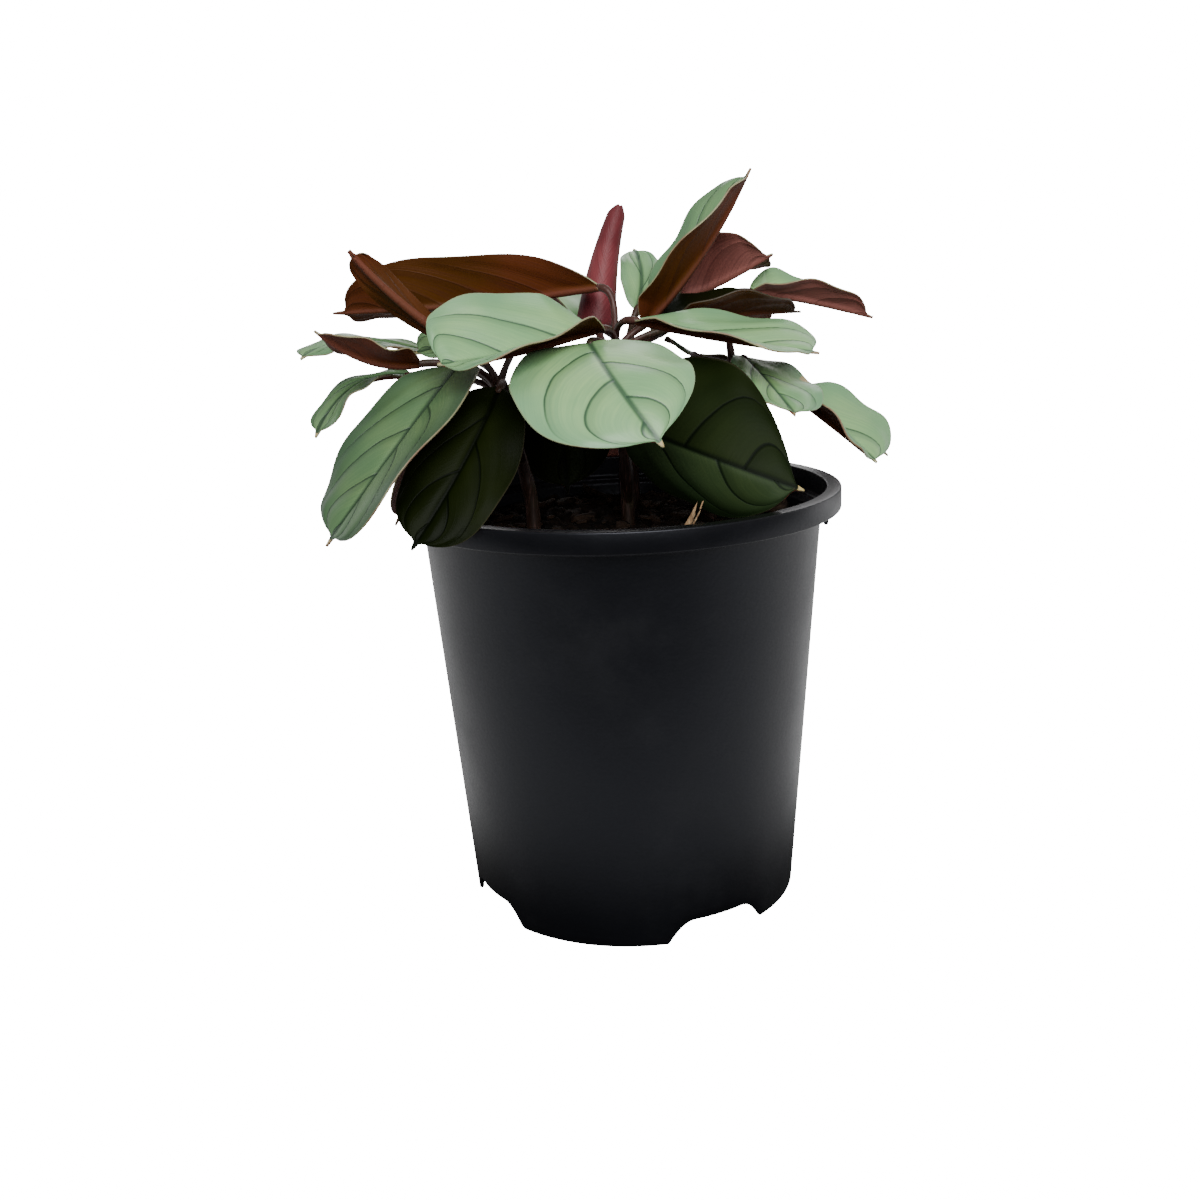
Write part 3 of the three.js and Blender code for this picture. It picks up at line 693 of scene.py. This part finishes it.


# Leaf blades. Thin living tissue on a midrib that stands out below, silvery green above with
# dark veins that arch towards the short point and tissue that puffs up between them, and wine
# red below. Older ones are dark olive, and the darkest olive is in part painted shade for the
# leaves deep in the plant. Painted shade also lies beside each side vein and along the margins.
# Each is held by the stalk that grows into its midrib.
BLADE_THICKNESS = 0.45
RIB_THICKNESS = 1.5
RIB_HALF_WIDTH = 0.75
RIB_THINNING = 0.8
BASE_BLUNTNESS = 2.2
TIP_BLUNTNESS = 3.2
OUTLINE_POWER = 0.52
POINT_LENGTH = 0.05
POINT_WIDTH = 1.3
POINT_POWER = 0.8
TIP_WIDTH = 0.15
NECK_WIDTH = 1.2
NECK_LENGTH = 0.05
YOUNG_TAPER = 0.66
FOLD_AT_BASE = 1.35
FOLD_LOSS = 0.7
FULL_FOLD_WIDTH = 0.35
WAVE_HEIGHT = 0.8
WAVES = 2.2
WAVE_PHASE = 0.9
VEIN_SPACING = 16
VEIN_SLANT = 1.0
VEIN_ARCH = 1.1
VEIN_STAGGER = 0.45
VEIN_LOOSENESS = 0.22
VEIN_SHADE = 0.34
PUFF = 0.42
PUFF_EDGE = 0.2
PUFF_POINT = 0.12
CREASE = 0.3
CREASE_HALF_WIDTH = 0.9
ROWS_ALONG = 64
COLUMNS_ACROSS = 40
ROW_CROWDING = 0.2
COLUMN_CROWDING = 1.35
MARGIN_FROM = 0.92
MARGIN_PLACE = 0.985
DRY_FROM = 0.955
DRY_LENGTH = 0.03

PALE_GREENS = (0.2, 0.39, 0.175), (0.28, 0.47, 0.19)
PALE_VEINLET = (0.16, 0.33, 0.15)
# Painted shade towards the margins, on pale leaves and on dark ones.
PALE_EDGE_SHADE = (0.14, 0.3, 0.18)
DARK_LEAF_EDGE_SHADE = (0.04, 0.11, 0.05)
# Near-black olives: partly the deep green of old leaves, partly painted shade.
OLIVES = (0.003, 0.005, 0.0007), (0.007, 0.0105, 0.0015)
VEIN_GREENS = (0.02, 0.06, 0.03), (0.001, 0.002, 0.0005)
EDGE_TAN = (0.35, 0.3, 0.19)
DRY_TAN = (0.42, 0.33, 0.14)
WINE_REDS = (0.21, 0.07, 0.056), (0.275, 0.105, 0.088)
TURNED_BROWNS = (0.088, 0.021, 0.004), (0.07, 0.022, 0.0015)
UNDERSIDE_VEINLET = (0.05, 0.013, 0.013)
UNDERSIDE_VEIN = (0.03, 0.009, 0.008)
UNDERSIDE_RIB = (0.17, 0.055, 0.04)
MARGIN_TANS = (0.26, 0.26, 0.14), (0.2, 0.12, 0.07)
OLD_AND_SHADED_MARGIN = (0.03, 0.02, 0.008)


def clamp(value, low=0.0, high=1.0):
    return min(max(value, low), high)


def bell(distance, width):
    return math.exp(-((distance / width) ** 2))


def half_width(leaf, u):
    """Half the width: an oblong with a blunt end and a short point, or a young blade's taper."""
    width = leaf["width"] / 2
    if "young" in leaf:
        ends = clamp(u / 0.06, 0.12) * clamp((1 - u) / 0.08, 0.02)
        return width * (1 - YOUNG_TAPER * u) * math.sqrt(ends)
    x = min(u / (1 - POINT_LENGTH), 1)
    bluntness = BASE_BLUNTNESS if x < 0.5 else TIP_BLUNTNESS
    body = width * max(1 - abs(2 * x - 1) ** bluntness, 0) ** OUTLINE_POWER
    point = 0
    if u > 0.5:
        point = POINT_WIDTH * clamp((1 - u) / (2 * POINT_LENGTH)) ** POINT_POWER + TIP_WIDTH
    neck = NECK_WIDTH * clamp(1 - u / NECK_LENGTH)
    return max(body, point, neck)


def blade_place(leaf, u, v):
    """A place on the blade. u runs from base to tip, v from -1 at the left edge to 1."""
    centre, along, up, right = midrib(leaf, u)
    side, sign = (1, -1) if v < 0 else (0, 1)
    width = half_width(leaf, u)
    opened = clamp(width / (FULL_FOLD_WIDTH * leaf["width"]))
    fold = math.radians(leaf.get("fold", (0, 0))[side]) * opened * (FOLD_AT_BASE - FOLD_LOSS * u)
    curl_length = width if "young" in leaf else leaf["width"] / 2
    bend = math.radians(leaf.get("curl", (0, 0))[side] or 1e-4) / curl_length
    reach = abs(v) * width * leaf.get("spread", (1, 1))[side]
    out = (math.sin(fold + bend * reach) - math.sin(fold)) / bend
    rise = -(math.cos(fold + bend * reach) - math.cos(fold)) / bend
    if "young" not in leaf:
        wave = math.sin(math.tau * WAVES * u + WAVE_PHASE * sign)
        rise += WAVE_HEIGHT * v * v * opened * wave
    return centre + right * sign * out + up * rise + along * leaf.get("lead", (0, 0))[side] * reach


def veins_along(leaf):
    """How many side veins the blade's length has room for."""
    return round((Vector(leaf["tip"]) - Vector(leaf["base"])).length / VEIN_SPACING)


def vein_count(leaf, u, v):
    """Counts the side veins that arch past a place, so a whole number lies on a vein."""
    arch = VEIN_SLANT * abs(v) + VEIN_ARCH * abs(v) ** 3
    return u * veins_along(leaf) - arch + (VEIN_STAGGER if v > 0 else 0)


def dryness(leaf, u, place):
    """How dry the tissue is here: at the blade's point, and in the spot that some blades have."""
    dry = clamp((u - DRY_FROM) / DRY_LENGTH) * leaf.get("dry_tip", 1)
    if "dry" in leaf:
        spot_u, spot_v, radius = leaf["dry"]
        dry = max(dry, clamp(1.5 - (place - blade_place(leaf, spot_u, spot_v)).length / radius))
    return dry


def blade_mesh(leaf):
    """The blade's upper face as a fine grid, with its relief and what its colours need."""
    bm = bmesh.new()
    bmesh.ops.create_grid(bm, x_segments=ROWS_ALONG, y_segments=COLUMNS_ACROSS, size=1)
    where = bm.verts.layers.float_vector.new("leaf_place")
    look = bm.verts.layers.float_vector.new("leaf_look")
    weights = bm.verts.layers.deform.verify()
    spots = {}
    for vert in bm.verts:
        share = (vert.co.x + 1) / 2
        u = (1 - 2 * ROW_CROWDING) * share + ROW_CROWDING * (1 - math.cos(math.pi * share))
        inward = abs(vert.co.y) ** COLUMN_CROWDING
        v = math.copysign(MARGIN_PLACE if MARGIN_FROM < inward < 0.999 else inward, vert.co.y)
        spots[vert] = (u, v)
        vert.co = blade_place(leaf, u, v)
        across = v * half_width(leaf, u)
        vert[where] = (u * veins_along(leaf), v, across)
        turned = clamp(leaf.get("brown", 0) * (1.3 - 0.6 * u))
        # Age and painted shade, less on a paler half.
        age_and_shade = leaf.get("age_and_shade", 0) - leaf.get("paler_half", (0, 0))[0 if v > 0 else 1]
        vert[look] = (age_and_shade, turned, dryness(leaf, u, vert.co))
        if "young" not in leaf:
            vert[weights][0] = bell(across, RIB_HALF_WIDTH) * (1 - RIB_THINNING * u)
    bmesh.ops.reverse_faces(bm, faces=bm.faces)
    bm.normal_update()
    if "young" not in leaf:
        for vert, (u, v) in spots.items():
            count = vein_count(leaf, u, v)
            across = abs(v) * half_width(leaf, u)
            puff = abs(math.sin(math.pi * count)) ** 0.7 * clamp(2 * count)
            puff *= clamp((1 - abs(v)) / PUFF_EDGE)
            puff *= clamp((1 - u) / PUFF_POINT) * (1 - bell(across, 1.6))
            crease = bell(across, CREASE_HALF_WIDTH) * clamp((1 - u) / 0.2)
            vert.co += vert.normal * (0.2 + PUFF * puff - CREASE * crease)
    return bm


def give_thickness(piece, thickest):
    piece.vertex_groups.new(name="rib")
    solidify = piece.modifiers.new("thickness", "SOLIDIFY")
    solidify.thickness = thickest * MM
    solidify.offset = -1
    solidify.vertex_group = "rib"
    solidify.thickness_vertex_group = BLADE_THICKNESS / thickest
    solidify.material_offset = 1
    solidify.material_offset_rim = 2


def vein_nodes(tree):
    """The share of a side vein with its painted shade on the tip side, of the midrib and of the
    veinlets at a place on a blade, and how far off the midrib it is."""
    where = add(tree, "ShaderNodeAttribute", attribute_name="leaf_place").outputs["Vector"]
    split = add(tree, "ShaderNodeSeparateXYZ", {0: where}).outputs
    off = sums(tree, "ABSOLUTE", split[1])
    arch = sums(tree, "ADD", product(tree, off, VEIN_SLANT),
                product(tree, sums(tree, "POWER", off, 3), VEIN_ARCH))
    side = product(tree, sums(tree, "GREATER_THAN", split[1], 0), VEIN_STAGGER)
    count = sums(tree, "ADD", sums(tree, "SUBTRACT", split[0], arch), side)
    loose = product(tree, sums(tree, "SUBTRACT", grain(tree, 55, 2), 0.5), VEIN_LOOSENESS)
    count = sums(tree, "ADD", count, loose)
    away = sums(tree, "FRACT", count)
    before = spread(tree, away, 0.0, 0.085, 1, 0)
    after = spread(tree, away, 0.955, 1.0)
    # Painted shade in the dip of the puffed tissue on the tip side of each side vein.
    shadow = product(tree, spread(tree, away, 0.0, 0.36, 1, 0), VEIN_SHADE)
    vein_and_shade = sums(tree, "MAXIMUM", sums(tree, "MAXIMUM", before, after), shadow)
    vein_and_shade = product(tree, vein_and_shade, spread(tree, count, 0.3, 0.75))
    vein_and_shade = product(tree, vein_and_shade, spread(tree, off, 0.72, 0.97, 1, 0.25))
    rib = spread(tree, sums(tree, "ABSOLUTE", split[2]), 0.2, 1.1, 1, 0)
    fine_place = add(tree, "ShaderNodeCombineXYZ",
                     {0: product(tree, count, 16), 1: product(tree, split[2], 0.12)}).outputs[0]
    fine = grain(tree, 1, 3, fine_place)
    return vein_and_shade, rib, fine, off


def look_nodes(tree):
    """How old and how deep in painted shade, how brown and how dry the tissue is at a place on a
    blade.
    """
    look = add(tree, "ShaderNodeAttribute", attribute_name="leaf_look").outputs["Vector"]
    return add(tree, "ShaderNodeSeparateXYZ", {0: look}).outputs


blade_upper, tree, shader = finish("leaf_upper_face", (0.4, 0.55, 0.38), 0.45)
vein_and_shade, rib, fine, off = vein_nodes(tree)
age_and_shade, _, dry = look_nodes(tree)
patches = spread(tree, grain(tree, 38, 3), 0.35, 0.65)
pale = blend_colours(tree, patches, *PALE_GREENS)
pale = blend_colours(tree, spread(tree, fine, 0.3, 0.7, 0.45, 1), PALE_VEINLET, pale)
# Painted shade: the outer part of each blade darkens towards the margin, where it curls away, more
# on dark leaves.
pale = blend_colours(tree, spread(tree, off, 0.5, 1.0, 0, 0.4), pale, PALE_EDGE_SHADE)
pale = blend_colours(tree, product(tree, spread(tree, off, 0.35, 1.0), age_and_shade), pale, DARK_LEAF_EDGE_SHADE)
# Old leaves, and leaves deep in the plant, turn to near-black olive, partly as painted shade.
surface = blend_colours(tree, age_and_shade, pale, blend_colours(tree, patches, *OLIVES))
dark = blend_colours(tree, age_and_shade, *VEIN_GREENS)
veined = blend_colours(tree, product(tree, vein_and_shade, 0.95), surface, dark)
veined = blend_colours(tree, product(tree, rib, 0.85), veined, dark)
edge = product(tree, spread(tree, off, 0.975, 0.995, 0, 0.35), spread(tree, age_and_shade, 0.5, 1, 1, 0.2))
edged = blend_colours(tree, edge, veined, EDGE_TAN)
frayed = product(tree, sums(tree, "SUBTRACT", grain(tree, 420, 3), 0.5), 0.9)
dried = spread(tree, sums(tree, "ADD", dry, frayed), 0.4, 0.6)
paint(tree, shader, blend_colours(tree, dried, edged, DRY_TAN))
tree.links.new(spread(tree, patches, 0, 1, 0.32, 0.46), shader.inputs["Roughness"])
tree.links.new(spread(tree, age_and_shade, 0.4, 1.0, 0.4, 0.03), shader.inputs["Specular IOR Level"])
ridges = sums(tree, "SUBTRACT", product(tree, fine, 0.5), product(tree, vein_and_shade, 1.2))
relief(tree, shader, ridges, 0.5, 0.22)

blade_under, tree, shader = finish("leaf_underside", (0.13, 0.028, 0.03), 0.6, 0.12)
vein_and_shade, rib, fine, _ = vein_nodes(tree)
brown = look_nodes(tree)[1]
patches = spread(tree, grain(tree, 45, 3), 0.35, 0.65)
wine = blend_colours(tree, patches, *WINE_REDS)
turned = blend_colours(tree, patches, *TURNED_BROWNS)
surface = blend_colours(tree, spread(tree, brown, 0, 0.6), wine, turned)
veinlets = spread(tree, fine, 0.4, 0.75, 0, 0.35)
surface = blend_colours(tree, veinlets, surface, UNDERSIDE_VEINLET)
surface = blend_colours(tree, product(tree, vein_and_shade, 0.3), surface, UNDERSIDE_VEIN)
paint(tree, shader, blend_colours(tree, product(tree, rib, 0.45), surface, UNDERSIDE_RIB))
relief(tree, shader, sums(tree, "ADD", fine, vein_and_shade), 0.5, 0.2)

blade_margin, tree, shader = finish("leaf_margin", (0.25, 0.2, 0.11), 0.5)
blotches = spread(tree, grain(tree, 120, 2), 0.4, 0.65)
colour = blend_colours(tree, blotches, *MARGIN_TANS)
# The margin darkens on old leaves and on shaded ones, partly as painted shade.
old_and_shaded = spread(tree, look_nodes(tree)[0], 0.5, 1)
paint(tree, shader, blend_colours(tree, old_and_shaded, colour, OLD_AND_SHADED_MARGIN))

for parts in SHOOTS.values():
    for name, leaf in parts["leaves"].items():
        if "young" not in leaf:
            faces = [blade_upper, blade_under, blade_margin]
            piece = make_piece(f"{name}_blade", blade_mesh(leaf), faces, "leaf", name)
            give_thickness(piece, RIB_THICKNESS)


# Young leaf. The newest blade still stands rolled into a narrow tube round its midrib, with
# its pinkish red underside outwards, and will unroll as it grows.
YOUNG_THICKNESS = BLADE_THICKNESS * 1.2
YOUNG_REDS = (0.12, 0.02, 0.025), (0.19, 0.038, 0.044)
YOUNG_VEINLET = (0.085, 0.012, 0.016)

young_red, tree, shader = finish("young_leaf_red", (0.19, 0.035, 0.045), 0.42, 0.2)
fine = vein_nodes(tree)[2]
patches = spread(tree, grain(tree, 60, 3), 0.35, 0.65)
colour = blend_colours(tree, patches, *YOUNG_REDS)
veinlets = spread(tree, fine, 0.4, 0.75, 0, 0.5)
paint(tree, shader, blend_colours(tree, veinlets, colour, YOUNG_VEINLET))
relief(tree, shader, fine, 0.5, 0.25)
for parts in SHOOTS.values():
    for name, leaf in parts["leaves"].items():
        if "young" in leaf:
            faces = [blade_upper, young_red, blade_margin]
            piece = make_piece(f"{name}_blade", blade_mesh(leaf), faces, "young_leaf", name)
            give_thickness(piece, YOUNG_THICKNESS)


# Withered sheath. The dry, papery foot of a leaf that has died still stands in the mix near
# the front. It has curled lengthwise and is torn at the top.
SHEATH_FOOT = Vector((13, -41, 111))
SHEATH_TOP = Vector((20, -43.5, 127))
SHEATH_CURL = 1.5
SHEATH_TWIST = 0.6
SHEATH_RADIUS = 2.9
SHEATH_NARROWING = 1.1
SHEATH_TEAR = 0.22
SHEATH_CRINKLE = 0.18
SHEATH_THICKNESS = 0.25
WITHERED_TANS = (0.1, 0.05, 0.022), (0.32, 0.2, 0.1)
WITHERED_FIBRE = (0.45, 0.33, 0.19)

bm = bmesh.new()
bmesh.ops.create_grid(bm, x_segments=36, y_segments=18, size=1)
for vert in bm.verts:
    share, across = (vert.co.x + 1) / 2, vert.co.y
    jagged = 1 + math.sin(7 * across + 1) + 0.5 * math.sin(17 * across)
    torn = 1 - SHEATH_TEAR * share ** 3 * jagged
    radius = SHEATH_RADIUS - SHEATH_NARROWING * share + 0.25 * math.sin(9 * share)
    bend = SHEATH_CURL * across + SHEATH_TWIST * share
    spot = SHEATH_FOOT.lerp(SHEATH_TOP, share * torn)
    outwards = Vector((math.sin(bend), -math.cos(bend), 0.25 * math.sin(bend)))
    vert.co = spot + (radius + SHEATH_CRINKLE * math.sin(11 * across + 5 * share)) * outwards
bmesh.ops.recalc_face_normals(bm, faces=bm.faces)

withered, tree, shader = finish("withered_sheath_tan", (0.2, 0.11, 0.05), 0.8)
fibres = grain(tree, 1600, 4, stretched(tree, 1, 1, 0.12))
stains = spread(tree, grain(tree, 160, 3), 0.4, 0.62)
colour = blend_colours(tree, stains, *WITHERED_TANS)
paint(tree, shader, blend_colours(tree, spread(tree, fibres, 0.5, 0.75), colour, WITHERED_FIBRE))
relief(tree, shader, fibres, 0.7, 0.2)
sheath = make_piece("withered_sheath", bm, [withered], "stem")
paper = sheath.modifiers.new("thickness", "SOLIDIFY")
paper.thickness = SHEATH_THICKNESS * MM
paper.offset = 0


# Studio. A plain pale floor, soft light from the front, behind and both sides, and the camera
# where the photographer stood, a little above the plant. The pot mirrors the floor, which has
# painted shade close to the pot and in front, so that its wall is dark at the foot.
FLOOR_SIZE = 6
FLOOR_GREYS = (0.02, 0.02, 0.02), (0.88, 0.88, 0.88)
FLOOR_PALE_FROM = (0.054, 0.12)
FLOOR_DARK_IN_FRONT = (-0.27, -0.11)
FLOOR_SEEN = 18
BACKDROP_SEEN = 18
BACKDROP_LIGHT = 0.2
BACKDROP_MIRRORED = 0.3
WHITE = (1, 1, 1, 1)
LIGHT_HEIGHT = 0.8
LIGHTS = (
    ("front_softbox", (0.1, -0.85, 0.72), (0, 0, 0.14), 0.8, 18),
    ("rear_softbox", (0.1, 0.9, 0.7), (0, 0, 0.14), 0.8, 5),
    ("left_strip", (-0.6, 0.35, 0.1), (0, 0, 0.08), 0.35, 0.6),
    ("right_strip", (0.6, 0.3, 0.1), (0, 0, 0.08), 0.35, 1),
)
SENSOR_WIDTH = 36
PHOTO_WIDTH_PIXELS = 1200
FOCAL_LENGTH_PIXELS = 1355.9
CAMERA_PLACE = (0, -0.4, 0.1946)
CAMERA_PAN, CAMERA_TILT, CAMERA_ROLL = -1.08, 14.65, 2.4

bm = bmesh.new()
bmesh.ops.create_grid(bm, x_segments=1, y_segments=1, size=FLOOR_SIZE)
floor = set_down("studio_floor", bm)
floor_white, tree, shader = finish("floor_white", FLOOR_GREYS[1], 0.9)
place = add(tree, "ShaderNodeTexCoord").outputs["Object"]
distance = add(tree, "ShaderNodeVectorMath", {0: place}, operation="LENGTH").outputs["Value"]
towards_back = add(tree, "ShaderNodeSeparateXYZ", {"Vector": place}).outputs["Y"]
# Painted shade on the floor: dark close to the pot and in front of it.
lit = product(tree, spread(tree, distance, *FLOOR_PALE_FROM),
              spread(tree, towards_back, *FLOOR_DARK_IN_FRONT))
paint(tree, shader, blend_colours(tree, lit, *FLOOR_GREYS))
seen = add(tree, "ShaderNodeLightPath").outputs["Is Camera Ray"]
shader.inputs["Emission Color"].default_value = WHITE
tree.links.new(product(tree, seen, FLOOR_SEEN), shader.inputs["Emission Strength"])
floor.data.materials.append(floor_white)
floor.visible_diffuse = False
floor.visible_shadow = False

world = bpy.data.worlds.new("studio")
bpy.context.scene.world = world
world.use_nodes = True
tree = world.node_tree
rays = add(tree, "ShaderNodeLightPath").outputs
seen = product(tree, rays["Is Camera Ray"], BACKDROP_SEEN)
mirrored = product(tree, rays["Is Glossy Ray"], BACKDROP_MIRRORED)
glow = sums(tree, "ADD", sums(tree, "ADD", seen, mirrored), BACKDROP_LIGHT)
tree.links.new(glow, tree.nodes["Background"].inputs["Strength"])
tree.nodes["Background"].inputs["Color"].default_value = WHITE

for name, place, aim, width, power in LIGHTS:
    lamp = bpy.data.lights.new(name, "AREA")
    lamp.shape = "RECTANGLE"
    lamp.size = width
    lamp.size_y = LIGHT_HEIGHT
    lamp.energy = power
    lamp_object = bpy.data.objects.new(name, lamp)
    lamp_object.location = place
    heading = Vector(aim) - Vector(place)
    lamp_object.rotation_euler = heading.to_track_quat("-Z", "Y").to_euler()
    bpy.context.scene.collection.objects.link(lamp_object)

lens = bpy.data.cameras.new("camera")
lens.sensor_width = SENSOR_WIDTH
lens.lens = SENSOR_WIDTH * FOCAL_LENGTH_PIXELS / PHOTO_WIDTH_PIXELS
lens.clip_start = 0.01
pan, tilt, roll = (math.radians(angle) for angle in (CAMERA_PAN, CAMERA_TILT, CAMERA_ROLL))
ahead = Vector((math.sin(pan) * math.cos(tilt), math.cos(pan) * math.cos(tilt), -math.sin(tilt)))
camera = bpy.data.objects.new("camera", lens)
camera.rotation_mode = "QUATERNION"
camera.rotation_quaternion = ahead.to_track_quat("-Z", "Y") @ Quaternion((0, 0, 1), -roll)
camera.location = CAMERA_PLACE
bpy.context.scene.collection.objects.link(camera)
bpy.context.scene.camera = camera
